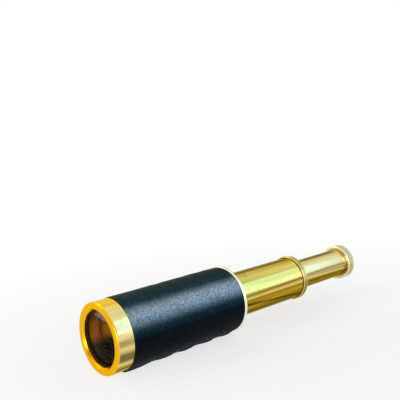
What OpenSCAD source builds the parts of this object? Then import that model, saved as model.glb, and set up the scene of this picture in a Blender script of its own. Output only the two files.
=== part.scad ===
// Pocket spyglass with a leather-covered barrel and two brass draws.
// The optical axis is X. The objective looks towards -X and the eye is at +X.
// The origin is on the axis where the bezel's straight outside begins, the seat of a slip-on lens cap.
// Lengths are in millimetres.

/* [Barrel] */
// Outer radius of the brass barrel tube
barrel_r = 13.8; // [12.4:0.1:15.4]
// Wall of the barrel tube
barrel_wall = 0.9; // [0.7:0.05:1]
// Wall of the objective bezel, round the barrel
bezel_wall = 0.88; // [0.6:0.02:1.2]
// Length of the bezel along the axis
bezel_len = 7.5; // [6.5:0.1:9]
// Thickness of the bezel's front lip
lip_len = 1.5; // [1.3:0.1:2.2]
// How far the lip and the clamp ring cover the edge of the objective
lens_cover = 1.1; // [0.8:0.1:2.4]
// Width of the cone that leads into the opening
lip_cone = 0.8; // [0.4:0.1:1.1]
// Radius of the bezel's rounded front edge
bezel_round = 0.8; // [0.4:0.1:1.2]
// Length of the leather cover
leather_len = 58.4; // [54:0.2:70]
// Thickness of the leather cover
leather_t = 1.05; // [0.8:0.05:1.4]
// Length of the bead on the barrel's rear collar
collar_bead = 1.4; // [1:0.1:2.5]
// How far that bead stands proud of the leather
collar_proud = 0.2; // [0.1:0.05:0.6]
// Radius of that bead's rounded edges
collar_round = 0.35; // [0.2:0.05:0.6]
// Length of the collar's sleeve inside the barrel
collar_sleeve = 7.4; // [6:0.2:9]

/* [Leather seam] */
// Angle of the sewn seam from straight down, towards the -Y side
seam_angle = 18; // [16:1:60]
// Number of stitches along the seam
stitch_count = 4; // [3:1:6]
// Distance from the leather's front edge to the first stitch
seam_front = 14.3; // [10:0.1:16]
// Distance from the last stitch to the leather's rear edge
seam_rear = 9.7; // [8:0.1:14]
// How far the leather puckers out between the stitches
pucker_h = 0.8; // [0.3:0.05:1]
// Radius of a pucker's round back
pucker_r = 1.9; // [1.6:0.1:2.4]
// Radius of the sewing thread
thread_r = 0.3; // [0.2:0.02:0.4]
// Distance between the two holes of one stitch
stitch_w = 3; // [2.4:0.1:4]
// Depth that a stitch goes into the leather
stitch_deep = 0.6; // [0.4:0.05:0.7]

/* [Objective] */
// Wall of the cell round the objective lenses
cell_wall = 0.36; // [0.3:0.01:0.8]
// Radius of the crown lens's front surface
crown_front_R = 34; // [31:0.1:60]
// Radius of the cemented surface between crown and flint
cement_R = 38.1; // [33:0.1:50]
// Edge thickness of the crown lens
crown_edge = 1.5; // [1:0.1:2]
// Thickness of the flint lens at its middle
flint_mid = 1.9; // [1.4:0.1:2.4]
// Length of the black ring between the bezel's lip and the lens
clamp_len = 1.2; // [1:0.1:2.2]
// Thickness of the lens cell's flange
cell_flange = 1; // [0.8:0.1:1.4]
// Thickness of the lip that closes the lens cell behind
cell_lip = 0.8; // [0.6:0.1:1.2]

/* [First draw] */
// Width of the ring-shaped space between the barrel and the first draw
space_1 = 2.7; // [2.3:0.1:3.2]
// Wall of the first draw tube
draw_1_wall = 0.5; // [0.4:0.05:0.7]
// Length of the first draw that shows when it is pulled out
draw_1_out = 43.2; // [38:0.2:44]
// Length of the guide ring's bead at the end of the first draw
guide_bead = 2.8; // [2.4:0.1:3.6]
// How far that bead stands out from the first draw
guide_proud = 0.7; // [0.6:0.1:1.6]
// Radius of the rounded edges of that bead
bead_round = 0.65; // [0.3:0.05:0.8]
// Half width and depth of the groove round it
bead_groove = 0.35; // [0.2:0.05:0.4]
// Length of the guide ring's sleeve inside the first draw
guide_sleeve = 8.4; // [7:0.2:10]
// Width of the glare stop's plate
glare_rim = 2; // [1.2:0.1:4]
// Length of the glare stop
glare_len = 2.4; // [1.6:0.1:4]

/* [Second draw] */
// Width of the ring-shaped space between the two draws
space_2 = 2.6; // [2.4:0.1:2.9]
// Wall of the second draw tube
draw_2_wall = 0.45; // [0.35:0.05:0.6]
// Length of the second draw that shows when it is pulled out
draw_2_out = 35.7; // [32:0.1:38]

/* [Stops and felts of both draws] */
// Length of the stop rings on the draws' inner ends
stop_len = 3.2; // [2.6:0.1:4.5]
// Thickness of a stop ring's turned-in lip
stop_lip = 0.8; // [0.6:0.1:1]
// How far that lip reaches inwards from the outside of the draw
stop_in = 1.4; // [1:0.1:1.5]
// Thickness of the felt that lines the guides
felt_t = 1.1; // [0.8:0.05:1.3]

/* [Erector] */
// Wall of the cells round the small lenses
small_wall = 0.6; // [0.5:0.02:1.2]
// Surface radius of the erector lenses
erector_R = 9.3; // [9:0.1:14]
// Edge thickness of the erector lenses
erector_edge = 0.9; // [0.7:0.1:1.4]
// Distance between the flat sides of the two erector lenses
erector_span = 11.5; // [10.5:0.1:14]
// Radius of the hole in the erector's stop
erector_hole = 1.7; // [1:0.1:3]
// Length of the ring that closes the erector cell
erector_ring = 1; // [0.8:0.1:2]
// Thickness of the cells' turned-in lips
small_lip = 0.6; // [0.4:0.1:1]
// Wall of the rings that hold the small lenses
ring_wall = 0.7; // [0.5:0.05:0.9]
// Thickness of the stops' thin walls and plates
stop_wall = 0.5; // [0.4:0.05:0.7]

/* [Eyepiece] */
// Distance from the field lens's flat face to the end of the second draw
field_back = 22; // [18:0.1:26]
// Surface radius of the field lens
field_R = 20.7; // [18:0.1:40]
// Edge thickness of the field lens
field_edge = 1; // [0.8:0.1:1.4]
// Distance from the field lens's flat face to the field stop
field_gap = 3; // [2.4:0.1:5]
// Thickness of the field stop
field_stop_t = 0.8; // [0.6:0.1:1.2]
// Width of the field stop's plate
field_rim = 0.8; // [0.6:0.1:2]
// Surface radius of the eye lens
eye_R = 20.7; // [18:0.1:40]
// Edge thickness of the eye lens
eye_edge = 1.2; // [1:0.1:1.6]
// How far the wall round the eye hole covers the eye lens
eye_cover = 1.6; // [1.2:0.1:2.4]
// How far the eyepiece cap flares out from the second draw
cap_flare = 1.8; // [1.6:0.1:3]
// Length of the eyepiece cap behind the tube
cap_len = 4.8; // [4.6:0.1:6]
// Length of the cap's sleeve inside the second draw
cap_sleeve = 4.6; // [4:0.2:7]
// Length of the ring that holds the eye lens
eye_ring = 1.8; // [1.2:0.1:3]
// Length of the plain bead at the cap's front
cap_bead = 1.1; // [0.8:0.1:1.2]
// Length of the groove between that bead and the knurled rim
cap_groove = 0.8; // [0.6:0.1:1]
// Depth of that groove
groove_deep = 0.75; // [0.3:0.05:1]
// How much smaller the knurled rim is than the bead
rim_step = 0.1; // [0:0.05:0.3]
// Radius of the rim's rounded rear edge
rim_round = 1; // [0.5:0.1:1.2]
// Width of the rim's flat rear face
rim_face = 0.6; // [0.3:0.1:1]
// Depth of the dish round the eye hole
dish_deep = 1.5; // [1:0.1:1.8]
// Thickness of the wall that the eye lens seats on
eye_wall = 1.2; // [0.9:0.1:1.4]
// Number of flutes in the knurled rim of the cap
flutes = 44; // [24:1:52]
// Radius of a flute
flute_r = 0.42; // [0.25:0.01:0.45]

/* [Clearances] */
// Gap round pieces that are screwed, pressed or glued together
seat_gap = 0.02; // [0.01:0.01:0.03]
// Gap round pieces that slide
run_gap = 0.06; // [0.04:0.01:0.1]
// Gap between a draw and the brass lips that it passes
lip_gap = 0.35; // [0.25:0.05:0.5]
// End gap at the stops
stop_gap = 0.3; // [0.2:0.05:0.4]

/* [Hidden] */
$fn = 96;
// Facets round a lens surface
SURFACE_FN = 240;

BRASS = [0.86, 0.68, 0.27];
BLACKENED = [0.10, 0.09, 0.08];
LEATHER = [0.04, 0.06, 0.08];
THREAD = [0.08, 0.08, 0.09];
FELT = [0.16, 0.05, 0.06];
GLASS = [0.75, 0.87, 0.90, 0.5];

// Height of a spherical surface of radius R at the distance r from its axis
function sag(R, r) = R - sqrt(R * R - r * r);
// How far a ring with a bore of radius r_bore stays from the rim of a bulging lens of radius r that it meets
function seat(R, r, r_bore) = sag(R, r) - sag(R, r_bore) + seat_gap;
// Points of a round corner: centre (cx, cy), radius r, from angle a0 to a1
function arc(cx, cy, r, a0, a1, steps = 8) =
    [for (i = [0:steps]) let (a = a0 + (a1 - a0) * i / steps) [cx + r * cos(a), cy + r * sin(a)]];

// Radii, from the outside inwards
bezel_r = barrel_r + seat_gap + bezel_wall;
leather_r = barrel_r + seat_gap + leather_t;
collar_r = leather_r + collar_proud;
barrel_in = barrel_r - barrel_wall;
objective_r = barrel_in - 2 * seat_gap - cell_wall;
opening_r = objective_r - lens_cover;
draw_1_r = barrel_in - space_1;
draw_1_in = draw_1_r - draw_1_wall;
guide_r = draw_1_r + guide_proud;
glare_hole = draw_1_in - glare_rim;
draw_2_r = draw_1_in - space_2;
draw_2_in = draw_2_r - draw_2_wall;
erector_cell_r = draw_2_in - seat_gap;
erector_r = erector_cell_r - small_wall - seat_gap;
field_r = erector_r;
field_hole = field_r - field_rim;
eye_r = erector_r;
eye_hole = eye_r - eye_cover;
eye_ring_hole = eye_r - ring_wall;
cap_r = draw_2_r + cap_flare;
rim_r = cap_r - rim_step;
neck_r = cap_r - groove_deep;

// Stations along the axis
front_x = -bezel_round;
clamp_x = front_x + lip_len;
cell_x = clamp_x + clamp_len;
barrel_x = cell_x + cell_flange + seat_gap;
leather_x = front_x + bezel_len + seat_gap;
collar_x = leather_x + leather_len + seat_gap;
barrel_end = collar_x + collar_bead;
draw_1_front = collar_x - collar_sleeve - stop_gap - stop_len;
guide_x = barrel_end + draw_1_out;
draw_1_end = guide_x + guide_bead;
draw_2_front = guide_x - guide_sleeve - stop_gap - stop_len;
cap_x = draw_1_end + draw_2_out;
eye_end = cap_x + cap_len;

// The inner edge of the clamp ring meets the curved glass
crown_x = cell_x + seat(crown_front_R, objective_r, opening_r);
crown_vertex = crown_x + crown_edge + sag(cement_R, objective_r);
flint_end = crown_vertex + seat_gap + flint_mid;
cell_end = flint_end + seat_gap + cell_lip;

erector_x = draw_2_front + stop_lip + seat_gap;
erector_lens_x = erector_x + small_lip + seat_gap;
erector_lens_end = erector_lens_x + erector_span;
erector_end = erector_lens_end + seat_gap + erector_ring;
field_x = cap_x - field_back;
field_cell_x = field_x - small_lip - seat_gap;
field_stop_x = field_x + field_gap;

// The eye lens seats on the edge of the eye hole
eye_seat = eye_end - dish_deep - eye_wall;
eye_lens_x = eye_seat - seat(eye_R, eye_r, eye_hole) - eye_edge;
eye_ring_end = eye_lens_x - seat(eye_R, eye_r, eye_ring_hole);

// Length of the front pucker before the leather's edge cuts it off, in distances to the first stitch
front_pucker = 1.4;

// Small steps of the turned shapes
neck_taper = 0.2;
flute_lift = 0.45;
bead_flat = 0.05;

// Turns a profile about the optical axis. Its points are [radius, station].
module lathe(points) {
    rotate([0, 90, 0]) rotate_extrude() polygon(points);
}

// A plain ring from station x0 to x1
module ring(x0, x1, r_in, r_out) {
    lathe([[r_in, x0], [r_out, x0], [r_out, x1], [r_in, x1]]);
}

module bar(x0, x1, r) {
    translate([x0, 0, 0]) rotate([0, 90, 0]) cylinder(h = x1 - x0, r = r);
}

// A lens whose edge starts at station x. A surface radius of 0 is flat; both surfaces bulge outwards.
module lens(x, r, edge, R_front, R_rear) {
    front = R_front > 0 ? sag(R_front, r) : 0;
    rear = R_rear > 0 ? sag(R_rear, r) : 0;
    // The blank ends behind a curved surface's vertex, so that the sphere alone shapes it
    intersection() {
        bar(x - 2 * front, x + edge + 2 * rear, r);
        if (R_front > 0) translate([x - front + R_front, 0, 0]) sphere(r = R_front, $fn = SURFACE_FN);
        if (R_rear > 0) translate([x + edge + rear - R_rear, 0, 0]) sphere(r = R_rear, $fn = SURFACE_FN);
    }
}

module objective_bezel() {
    skirt_in = barrel_r + seat_gap;
    color(BRASS) lathe(concat(
        [[opening_r + lip_cone, front_x]],
        arc(bezel_r - bezel_round, 0, bezel_round, -90, 0),
        [[bezel_r, front_x + bezel_len], [skirt_in, front_x + bezel_len], [skirt_in, clamp_x],
         [opening_r, clamp_x], [opening_r, front_x + lip_cone]]));
}

module objective_clamp_ring() {
    color(BLACKENED) ring(clamp_x, cell_x, opening_r, barrel_r - seat_gap);
}

module objective_cell() {
    tube_r = barrel_in - seat_gap;
    bore = objective_r + seat_gap;
    color(BLACKENED) lathe([
        [bore, cell_x + seat_gap], [barrel_r - seat_gap, cell_x + seat_gap],
        [barrel_r - seat_gap, cell_x + cell_flange], [tube_r, cell_x + cell_flange],
        [tube_r, cell_end], [opening_r, cell_end],
        [opening_r, cell_end - cell_lip], [bore, cell_end - cell_lip]]);
}

module objective_crown_lens() {
    color(GLASS) lens(crown_x, objective_r, crown_edge, crown_front_R, cement_R);
}

module objective_flint_lens() {
    color(GLASS) difference() {
        bar(crown_x + crown_edge + seat_gap, flint_end, objective_r);
        translate([crown_vertex - cement_R, 0, 0]) sphere(r = cement_R + seat_gap, $fn = SURFACE_FN);
    }
}

module barrel_tube() {
    color(BRASS) ring(barrel_x, collar_x - seat_gap, barrel_in, barrel_r);
}

// Places its children on the seam line, with +Z pointing out of the leather
module on_seam(x) {
    rotate([180 - seam_angle, 0, 0]) translate([x, 0, leather_r]) children();
}

stitch_pitch = (leather_len - seam_front - seam_rear) / (stitch_count - 1);
function stitch_x(i) = leather_x + seam_front + stitch_pitch * i;

// The leather's swelling from station x0 to x1, a spindle that lies along the seam
module pucker(x0, x1, steps = 12) {
    half = (x1 - x0) / 2;
    R = (half * half + pucker_r * pucker_r) / (2 * pucker_r);
    on_seam(x0) translate([0, 0, pucker_h - pucker_r]) rotate([0, 90, 0]) rotate_extrude()
        polygon(concat([[0, 0]], [for (i = [1:steps - 1]) let (z = 2 * half * i / steps)
            [sqrt(R * R - (z - half) * (z - half)) - R + pucker_r, z]], [[0, 2 * half]]));
}

// The front pucker swells right up to the leather's edge, which cuts it off
module puckers() {
    rear_x = leather_x + leather_len;
    intersection() {
        bar(leather_x, rear_x, leather_r + 2 * pucker_h);
        union() {
            pucker(stitch_x(0) - front_pucker * seam_front, stitch_x(0));
            for (i = [1:stitch_count - 1]) pucker(stitch_x(i - 1), stitch_x(i));
            pucker(stitch_x(stitch_count - 1), rear_x);
        }
    }
}

// A stitch is a bar of thread across the seam, sunk to its middle, with its ends turned down
module stitch(x, r, deep) {
    on_seam(x) {
        rotate([90, 0, 0]) cylinder(h = stitch_w, r = r, center = true);
        for (side = [-1, 1]) translate([0, side * stitch_w / 2, 0]) {
            sphere(r = r, $fn = 32);
            translate([0, 0, -deep]) cylinder(h = deep, r = r, $fn = 32);
        }
    }
}

module leather_cover() {
    color(LEATHER) difference() {
        union() {
            ring(leather_x, leather_x + leather_len, barrel_r + seat_gap, leather_r);
            puckers();
        }
        bar(leather_x - leather_t, leather_x + leather_len + leather_t, barrel_r + seat_gap);
        for (i = [0:stitch_count - 1]) stitch(stitch_x(i), thread_r + seat_gap, stitch_deep);
    }
}

module leather_stitches() {
    color(THREAD) for (i = [0:stitch_count - 1]) stitch(stitch_x(i), thread_r, stitch_deep - seat_gap);
}

// A guide that a draw slides through: a bead outside the tube, a felt-lined sleeve inside it
module guide(x, bead, r_bead, edge, sleeve, r_tube_in, r_draw, grooved = false) {
    r_round = min(bead / 2 - bead_flat, edge);
    hole = r_draw + lip_gap;
    felt_seat = r_draw + run_gap + felt_t + seat_gap;
    mid = x + bead / 2;
    cut = bead_groove;
    groove = grooved ? [[r_bead, mid - cut], [r_bead - cut, mid], [r_bead, mid + cut]] : [];
    color(BRASS) lathe(concat(
        [[hole, x - sleeve], [r_tube_in - seat_gap, x - sleeve], [r_tube_in - seat_gap, x]],
        arc(r_bead - r_round, x + r_round, r_round, -90, 0), groove,
        arc(r_bead - r_round, x + bead - r_round, r_round, 0, 90),
        [[hole, x + bead], [hole, x - seat_gap], [felt_seat, x - seat_gap],
         [felt_seat, x - sleeve + small_lip], [hole, x - sleeve + small_lip]]));
}

module felt_bush(x, sleeve, r_draw) {
    bore = r_draw + run_gap;
    color(FELT) ring(x - sleeve + small_lip + seat_gap, x - 2 * seat_gap, bore, bore + felt_t);
}

module barrel_collar() {
    guide(collar_x, collar_bead, collar_r, collar_round, collar_sleeve, barrel_in, draw_1_r);
}

module barrel_felt_bush() {
    felt_bush(collar_x, collar_sleeve, draw_1_r);
}

// The ring on a draw's inner end, which keeps it straight and stops it against the guide
module stop_ring(x, r_draw, r_outside) {
    color(BRASS) lathe([
        [r_draw - stop_in, x], [r_outside - run_gap, x], [r_outside - run_gap, x + stop_len],
        [r_draw + seat_gap, x + stop_len], [r_draw + seat_gap, x + stop_lip],
        [r_draw - stop_in, x + stop_lip]]);
}

module draw_1_tube() {
    color(BRASS) ring(draw_1_front + stop_lip + seat_gap, guide_x - seat_gap, draw_1_in, draw_1_r);
}

module draw_1_stop_ring() {
    stop_ring(draw_1_front, draw_1_r, barrel_in);
}

module draw_1_glare_stop() {
    x = draw_1_front + stop_lip + seat_gap;
    rim = draw_1_in - seat_gap;
    color(BLACKENED) lathe([
        [glare_hole, x], [rim, x], [rim, x + glare_len],
        [rim - stop_wall, x + glare_len], [rim - stop_wall, x + stop_wall], [glare_hole, x + stop_wall]]);
}

module draw_1_guide_ring() {
    guide(guide_x, guide_bead, guide_r, bead_round, guide_sleeve, draw_1_in, draw_2_r, grooved = true);
}

module draw_1_felt_bush() {
    felt_bush(guide_x, guide_sleeve, draw_2_r);
}

module draw_2_tube() {
    color(BRASS) ring(draw_2_front + stop_lip + seat_gap, cap_x - seat_gap, draw_2_in, draw_2_r);
}

module draw_2_stop_ring() {
    stop_ring(draw_2_front, draw_2_r, draw_1_in);
}

module erector_cell() {
    bore = erector_r + seat_gap;
    color(BRASS) lathe([
        [erector_r - small_lip, erector_x], [erector_cell_r, erector_x], [erector_cell_r, erector_end],
        [bore, erector_end], [bore, erector_x + small_lip], [erector_r - small_lip, erector_x + small_lip]]);
}

module erector_front_lens() {
    color(GLASS) lens(erector_lens_x, erector_r, erector_edge, 0, erector_R);
}

module erector_rear_lens() {
    color(GLASS) lens(erector_lens_end - erector_edge, erector_r, erector_edge, erector_R, 0);
}

module erector_spacer() {
    wall_in = erector_r - stop_wall;
    from_rim = erector_edge + seat(erector_R, erector_r, wall_in);
    x0 = erector_lens_x + from_rim;
    x1 = erector_lens_end - from_rim;
    mid = (x0 + x1) / 2;
    half = stop_wall / 2;
    color(BLACKENED) lathe([
        [wall_in, x0], [erector_r, x0], [erector_r, x1], [wall_in, x1],
        [wall_in, mid + half], [erector_hole, mid + half],
        [erector_hole, mid - half], [wall_in, mid - half]]);
}

module erector_retaining_ring() {
    color(BLACKENED) ring(erector_lens_end + seat_gap, erector_end, erector_r - small_lip, erector_r);
}

module field_lens_cell() {
    bore = field_r + seat_gap;
    x1 = field_stop_x + field_stop_t;
    color(BRASS) lathe([
        [field_r - small_lip, field_cell_x], [erector_cell_r, field_cell_x], [erector_cell_r, x1],
        [bore, x1], [bore, field_cell_x + small_lip], [field_r - small_lip, field_cell_x + small_lip]]);
}

module field_lens() {
    color(GLASS) lens(field_x, field_r, field_edge, 0, field_R);
}

module field_stop() {
    wall_in = field_r - stop_wall;
    x0 = field_x + field_edge + seat(field_R, field_r, wall_in);
    x1 = field_stop_x + field_stop_t;
    color(BLACKENED) lathe([
        [wall_in, x0], [field_r, x0], [field_r, x1], [field_hole, x1],
        [field_hole, field_stop_x], [wall_in, field_stop_x]]);
}

// The cap flares from the tube to a plain bead, then a groove and a knurled rim, and is dished for the eye
module eyepiece_cap() {
    bore = eye_r + seat_gap;
    rim_x = cap_x + cap_bead + cap_groove;
    face_r = rim_r - rim_round;
    color(BRASS) difference() {
        lathe(concat(
            [[bore, cap_x - cap_sleeve], [erector_cell_r, cap_x - cap_sleeve],
             [erector_cell_r, cap_x], [draw_2_r, cap_x]],
            arc(cap_r - cap_bead / 2, cap_x + cap_bead / 2, cap_bead / 2, -90, 90, 12),
            [[neck_r, cap_x + cap_bead + neck_taper], [neck_r, rim_x - neck_taper], [rim_r, rim_x]],
            arc(face_r, eye_end - rim_round, rim_round, 0, 90, 6),
            [[face_r - rim_face, eye_end], [eye_hole, eye_end - dish_deep],
             [eye_hole, eye_seat], [bore, eye_seat]]));
        for (i = [0:flutes - 1]) rotate([i * 360 / flutes, 0, 0])
            translate([rim_x - neck_taper, 0, rim_r + flute_r * flute_lift]) rotate([0, 90, 0])
                cylinder(h = cap_len, r = flute_r, $fn = 16);
    }
}

module eye_lens() {
    color(GLASS) lens(eye_lens_x, eye_r, eye_edge, eye_R, eye_R);
}

module eye_lens_retaining_ring() {
    color(BLACKENED) ring(eye_ring_end - eye_ring, eye_ring_end, eye_ring_hole, eye_r);
}

objective_bezel();
objective_clamp_ring();
objective_cell();
objective_crown_lens();
objective_flint_lens();
barrel_tube();
leather_cover();
leather_stitches();
barrel_collar();
barrel_felt_bush();
draw_1_tube();
draw_1_stop_ring();
draw_1_glare_stop();
draw_1_guide_ring();
draw_1_felt_bush();
draw_2_tube();
draw_2_stop_ring();
erector_cell();
erector_front_lens();
erector_spacer();
erector_rear_lens();
erector_retaining_ring();
field_lens_cell();
field_lens();
field_stop();
eyepiece_cap();
eye_lens();
eye_lens_retaining_ring();
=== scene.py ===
# %% [markdown]
# # A pocket spyglass, dressed in Blender
#
# The CAD part gives every tube, ring and lens its place. This notebook puts the looks
# on it: polished and drawn brass, a sewn leather cover, coated glass and felt.
#
# Everything is in metres, and the optical axis is X. The objective looks towards -X,
# the eye is at +X, and the spyglass lies on a pale table with its axis level.

# %% The frame
import math

import bpy
import numpy as np
from mathutils import Matrix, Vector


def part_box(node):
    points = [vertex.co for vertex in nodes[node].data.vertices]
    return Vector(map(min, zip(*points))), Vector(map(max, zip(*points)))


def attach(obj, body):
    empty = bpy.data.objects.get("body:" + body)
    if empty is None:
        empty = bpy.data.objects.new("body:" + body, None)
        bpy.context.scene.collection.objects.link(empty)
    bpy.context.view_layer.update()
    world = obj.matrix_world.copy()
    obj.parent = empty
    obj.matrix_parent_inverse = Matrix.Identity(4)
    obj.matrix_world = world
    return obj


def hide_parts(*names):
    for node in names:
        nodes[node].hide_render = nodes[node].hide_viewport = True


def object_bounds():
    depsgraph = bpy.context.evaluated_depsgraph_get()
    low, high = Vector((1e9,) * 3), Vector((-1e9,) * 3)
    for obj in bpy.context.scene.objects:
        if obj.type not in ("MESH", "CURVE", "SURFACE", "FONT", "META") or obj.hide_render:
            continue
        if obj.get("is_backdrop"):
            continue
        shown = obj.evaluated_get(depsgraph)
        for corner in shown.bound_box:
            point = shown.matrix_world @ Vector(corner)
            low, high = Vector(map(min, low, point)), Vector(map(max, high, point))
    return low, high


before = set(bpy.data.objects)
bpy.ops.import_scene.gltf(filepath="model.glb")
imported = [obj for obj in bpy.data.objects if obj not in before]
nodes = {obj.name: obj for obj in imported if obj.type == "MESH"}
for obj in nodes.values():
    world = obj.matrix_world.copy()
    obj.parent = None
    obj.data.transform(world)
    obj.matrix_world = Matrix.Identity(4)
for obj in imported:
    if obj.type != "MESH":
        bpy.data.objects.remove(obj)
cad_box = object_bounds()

# %% [markdown]
# ## The numbers of the turned shapes
#
# The pieces that show are made again here as fine surfaces. Their stations along the
# axis and their outer radii are read from the CAD part, and only walls and small
# steps are written down. A turner works the same way: one list of sizes on the
# drawing, and every tool is set from it.

# %% Stations and radii in millimetres
MM = 0.001


def reach(node):
    """First station, last station and outer radius of a CAD node."""
    low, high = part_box(node)
    return low[0] / MM, high[0] / MM, high[1] / MM


FRONT, BEZEL_END, BEZEL_R = reach("objective_bezel")
CLAMP, CELL, CLAMP_R = reach("objective_clamp_ring")
CELL_END = reach("objective_cell")[1]
LEATHER_X0, LEATHER_X1 = reach("leather_cover")[:2]
BARREL_R = reach("barrel_tube")[2]
SLEEVE_X, BARREL_END, COLLAR_R = reach("barrel_collar")
DRAW_1_X0, DRAW_1_X1, DRAW_1_R = reach("draw_1_tube")
GUIDE_SLEEVE, GUIDE_END, GUIDE_R = reach("draw_1_guide_ring")
DRAW_2_X0, DRAW_2_X1, DRAW_2_R = reach("draw_2_tube")
CAP_SLEEVE, EYE_END, CAP_R = reach("eyepiece_cap")
GAP = 0.02
LEATHER_T = 1.05
LEATHER_IN = BARREL_R + GAP
LEATHER_R = LEATHER_IN + LEATHER_T
BARREL_IN = BARREL_R - 0.9
OPENING_R, LIP_CONE = 11.4, 0.8
DRAW_1_IN, DRAW_2_IN = DRAW_1_R - 0.5, DRAW_2_R - 0.45
COLLAR_X, GUIDE_X, CAP_X = LEATHER_X1 + GAP, DRAW_1_X1 + GAP, DRAW_2_X1 + GAP
RIM_X, EYE_SEAT = CAP_X + 1.9, EYE_END - 2.7
RIM_R, NECK_R, EYE_R, EYE_HOLE = CAP_R - 0.1, CAP_R - 0.75, 6.01, 4.41
print("open length", round(EYE_END - FRONT, 2), "mm, bezel", round(2 * BEZEL_R, 2), "mm across")

# %% [markdown]
# ## Surfaces of revolution
#
# Everything of brass here was turned on a lathe. On a lathe a tool follows a profile
# while the work spins, and in numpy it is the same: a closed list of points (x, r) is
# one parameter and the angle round the axis is the other. A sharp corner would look
# like paper, so each corner gets a small arc, as the turner breaks every edge. The
# arcs also say where the metal wears bright and where dirt stays.

# %% Profiles with softened corners
# Half the angle, in radians, from which a corner counts as straight, and the longest
# share of a side that an arc may take.
STRAIGHT = 1.56
LONGEST_CUT = 0.45


def softened(corners, steps=5):
    """A closed profile whose corners are rounded.

    Each corner is (x, r, fillet). The arc that replaces it touches both sides at the
    distance fillet / tan(half the corner's angle), and its points are the corner's
    circle centre plus the fillet times a direction that swings evenly from one side's
    normal to the other's. Beside each arc goes one more point on the straight side, so
    that the shading of the arc doesn't spread over it. Returns the points, how much
    each belongs to an outer corner, and how much to an inner one.
    """
    p = np.array([c[:2] for c in corners], float)
    r = np.array([c[2] for c in corners], float)
    area = 0.5 * np.sum(p[:, 0] * np.roll(p[:, 1], -1) - np.roll(p[:, 0], -1) * p[:, 1])
    if area < 0:
        p, r = p[::-1], r[::-1]
    out, edge, nook = [], [], []
    for i in range(len(p)):
        a, b, c = p[i - 1], p[i], p[(i + 1) % len(p)]
        u, v = a - b, c - b
        lu, lv = np.hypot(*u), np.hypot(*v)
        u, v = u / lu, v / lv
        half = 0.5 * math.acos(max(-1.0, min(1.0, float(u @ v))))
        if r[i] <= 0 or half > STRAIGHT:
            out.append(b[None])
            edge.append([0.0])
            nook.append([0.0])
            continue
        back = min(r[i] / math.tan(half), LONGEST_CUT * lu, LONGEST_CUT * lv)
        fillet = back * math.tan(half)
        centre = b + (u + v) / np.hypot(*(u + v)) * fillet / math.sin(half)
        n0, n1 = b + u * back - centre, b + v * back - centre
        t = np.linspace(0, 1, steps + 1)[:, None]
        swing = n0 * (1 - t) + n1 * t
        swing *= fillet / np.hypot(swing[:, 0], swing[:, 1])[:, None]
        hold = min(0.12 * fillet + 0.004, 0.04 * min(lu, lv))
        outer = -u[0] * v[1] + u[1] * v[0] > 0
        amount = np.concatenate([[0.35], np.ones(steps + 1), [0.35]])
        out.append(np.vstack([b + u * (back + hold), centre + swing, b + v * (back + hold)]))
        edge.append(amount * outer)
        nook.append(amount * (not outer))
    return np.vstack(out), np.concatenate(edge), np.concatenate(nook)


square = [(0, 1, 0.2), (2, 1, 0.2), (2, 3, 0.2), (0, 3, 0.2)]
print("a square with round corners has", len(softened(square)[0]), "points")


# %% Meshes from arrays
def mesh_object(name, points, quads, tris=None, masks=None):
    """One object at the origin from arrays: points in millimetres, faces as indices.

    masks are numbers per point, which the materials read as attributes.
    """
    faces = [np.asarray(quads, np.int64).reshape(-1, 4)]
    if tris is not None:
        faces.append(np.asarray(tris, np.int64).reshape(-1, 3))
    loops = np.concatenate([f.ravel() for f in faces])
    totals = np.concatenate([np.full(len(f), f.shape[1]) for f in faces])
    mesh = bpy.data.meshes.new(name)
    mesh.vertices.add(len(points))
    mesh.vertices.foreach_set("co", (np.asarray(points, float) * MM).ravel())
    mesh.loops.add(len(loops))
    mesh.loops.foreach_set("vertex_index", loops)
    mesh.polygons.add(len(totals))
    mesh.polygons.foreach_set("loop_start", np.concatenate([[0], np.cumsum(totals)[:-1]]))
    mesh.polygons.foreach_set("loop_total", totals)
    mesh.polygons.foreach_set("use_smooth", np.ones(len(totals), bool))
    for key, values in (masks or {}).items():
        layer = mesh.attributes.new(key, "FLOAT", "POINT")
        layer.data.foreach_set("value", np.asarray(values, np.float32))
    mesh.update(calc_edges=True)
    mesh.validate()
    piece = bpy.data.objects.new(name, mesh)
    bpy.context.scene.collection.objects.link(piece)
    return piece


def woven(rows, columns, ring_rows=True):
    """Quads of a grid of points stored row by row.

    The columns are joined round, and so are the rows if ring_rows is true.
    """
    i = np.arange(rows if ring_rows else rows - 1)[:, None]
    j = np.arange(columns)[None, :]
    below, beside = (i + 1) % rows, (j + 1) % columns
    near, far = i * columns, below * columns
    return np.stack([near + j, far + j, far + beside, near + beside], -1).reshape(-1, 4)


print("a ring of 3 by 4 points has", len(woven(3, 4)), "faces")

# %% [markdown]
# ### Marks that run along the metal
#
# Long bands lie along the tubes. A few faint ones are tarnish, which follows the strokes
# of the cloth; the dark ones listed for each piece are painted reflections, and the bright
# ones painted highlights. Painting them as a picture would need a flat map of each tube.
# A number for each point does the same: it says how far that point belongs to a band.


# %% Bands along a turned piece
FAINT_BANDS = 26


# The mask of a painted shade: where a surface faces down, its colour is painted darker and browner.
def painted_underside_shade(y, z):
    """How far a surface faces down: 0 while its normal rises, and 1 once it has dropped well below level."""
    return np.clip((0.10 - z / np.hypot(y, z)) / 0.22, 0, 1)


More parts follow.
